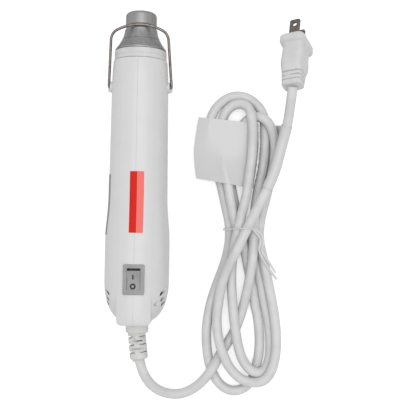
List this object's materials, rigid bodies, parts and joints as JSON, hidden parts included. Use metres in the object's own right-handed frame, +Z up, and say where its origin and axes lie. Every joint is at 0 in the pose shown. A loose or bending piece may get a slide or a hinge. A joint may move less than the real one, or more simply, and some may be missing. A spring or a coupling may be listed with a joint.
{
  "type": "embossing heat tool",
  "caption": "Pencil-shaped hot air tool for embossing, with a round metal nozzle, a wire bail, a rocker switch and a mains lead tied in a hank with a flat two-blade plug.",
  "frame": {"origin": "on the surface the tool lies on, under the middle of the tool's own box without the lead", "axes": "+Y along the tool towards the nozzle, +Z up out of the switch side, +X to the right, where the lead lies; the tool's axis dips 1.44 degrees towards the nozzle"},
  "size_m": [0.1493, 0.2882, 0.0503],
  "materials": {
    "housing": "semi-gloss",
    "front_ring": "satin",
    "nozzle": "turned satin",
    "shield_steel": "rolled",
    "mica": "satin",
    "heater_wire": "oxidised",
    "cutoff": "matte",
    "heater_lead": "glass sleeve",
    "duct_plastic": "matte",
    "motor_steel": "plated",
    "shaft_steel": "ground",
    "fan_plastic": "matte",
    "motor_lead": "satin",
    "circuit_board": "satin",
    "diode_body": "gloss",
    "switch_frame": "satin",
    "rocker": "semi-gloss",
    "terminal_brass": "stamped",
    "supply_lead": "satin",
    "strain_relief": "satin",
    "cord": "satin",
    "clamp_plastic": "matte",
    "screw_steel": "plated",
    "bail_wire": "drawn wire",
    "front_sticker": "satin film",
    "side_panel": "satin film",
    "plug_body": "satin",
    "plug_blades": "nickel plated",
    "cord_tag": "coated film",
    "twist_tie": "plastic on wire"
  },
  "bodies": {
    "tool": {"left_housing": "housing", "right_housing": "housing", "housing_screws": "screw_steel", "front_ring": "front_ring", "nozzle": "nozzle", "heat_shield": "shield_steel", "mica_sleeve": "mica", "mica_former": "mica", "heating_coil": "heater_wire", "thermal_cutoff": "cutoff", "heater_leads": "heater_lead", "fan_duct": "duct_plastic", "motor_can": "motor_steel", "motor_leads": "motor_lead", "rectifier_board": "circuit_board", "rectifier_diodes": "diode_body", "switch_frame": "switch_frame", "switch_terminals": "terminal_brass", "supply_leads": "supply_lead", "strain_relief": "strain_relief", "inner_cord": "cord", "cord_clamp": "clamp_plastic", "clamp_screws": "screw_steel", "front_sticker": "front_sticker", "side_panel": "side_panel", "cord_lead": "cord", "cord_hank": "cord", "plug_lead": "cord", "plug_body": "plug_body", "plug_blades": "plug_blades", "cord_tag": "cord_tag", "twist_tie": "twist_tie"},
    "fan": {"motor_shaft": "shaft_steel", "impeller": "fan_plastic"},
    "rocker": {"rocker": "rocker"},
    "bail": {"bail": "bail_wire"}
  },
  "joints": [
    {"name": "bail_swing", "type": "hinge", "parent": "tool", "child": "bail", "pos_m": [0, 0.07249, 0.02078], "axis": [1, 0, 0], "range_deg": [0, 133.5]},
    {"name": "rocker_tilt", "type": "hinge", "parent": "tool", "child": "rocker", "pos_m": [0, -0.06453, 0.04538], "axis": [-1, 0, 0], "range_deg": [0, 14]},
    {"name": "fan_spin", "type": "hinge", "parent": "tool", "child": "fan", "pos_m": [0, -0.00678, 0.02277], "axis": [0, 0.9997, -0.0251], "continuous": true}
  ]
}
